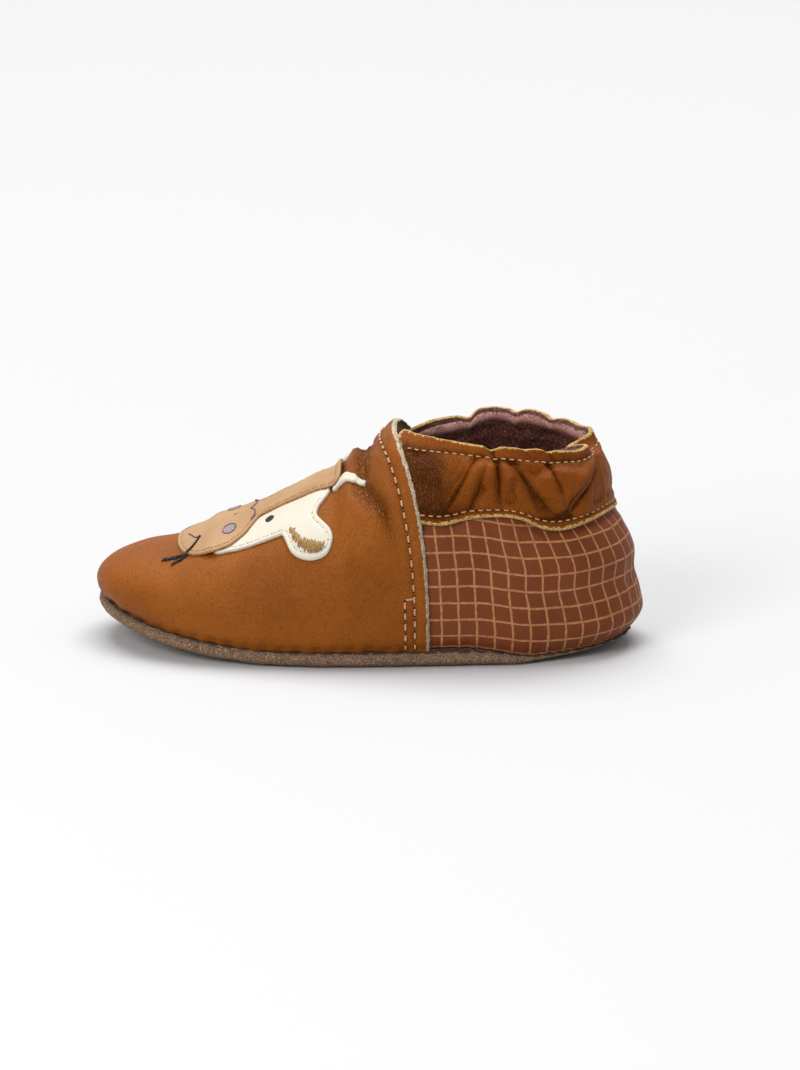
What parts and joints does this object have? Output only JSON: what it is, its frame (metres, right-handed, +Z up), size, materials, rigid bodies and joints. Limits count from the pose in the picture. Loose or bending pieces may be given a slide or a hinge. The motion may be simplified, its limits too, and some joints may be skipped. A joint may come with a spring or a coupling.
{
  "type": "baby bootie",
  "caption": "Soft-soled leather baby bootie with a gathered elastic ankle cuff, a printed heel quarter and an animal face sewn on the toe; the left one of a pair.",
  "frame": {"origin": "on the ground under the middle of the sole's length, on the centre line", "axes": "+X towards the heel, -X towards the toe, +Y towards the inner side of the foot, -Y towards the outer side, +Z up"},
  "size_m": [0.1296, 0.0578, 0.0525],
  "materials": {
    "tan_leather": "smooth grained tan nappa leather, low sheen",
    "print_leather": "brown leather printed with a lighter square grid, fleshy suede side inwards",
    "cream_leather": "smooth cream leather",
    "muzzle_leather": "smooth light tan leather",
    "suede": "taupe suede, rough nap",
    "lining": "soft brushed insole cover",
    "elastic": "woven flat elastic",
    "peach_thread": "twisted sewing thread",
    "face_thread": "fine sewing thread",
    "muzzle_thread": "fine sewing thread",
    "sole_thread": "twisted sewing thread",
    "dark_thread": "embroidery thread",
    "mauve_thread": "satin embroidery thread",
    "gold_thread": "satin embroidery thread"
  },
  "bodies": {
    "root": {"outsole": "suede", "insole": "lining", "vamp": "tan_leather", "heel_quarter": "print_leather", "ankle_cuff": "tan_leather", "elastic_band": "elastic", "head_applique": "cream_leather", "muzzle_applique": "muzzle_leather", "left_horn": "cream_leather", "right_horn": "cream_leather", "eye_embroidery": "dark_thread", "nostril_embroidery": "mauve_thread", "muzzle_line_embroidery": "dark_thread", "straw_embroidery": "dark_thread", "ear_embroidery": "gold_thread", "vamp_seam_thread": "peach_thread", "cuff_top_thread": "peach_thread", "cuff_bottom_thread": "peach_thread", "side_tack_thread": "peach_thread", "sole_seam_thread": "sole_thread", "head_edge_thread": "face_thread", "muzzle_edge_thread": "muzzle_thread", "elastic_tacks": "peach_thread"}
  },
  "joints": []
}
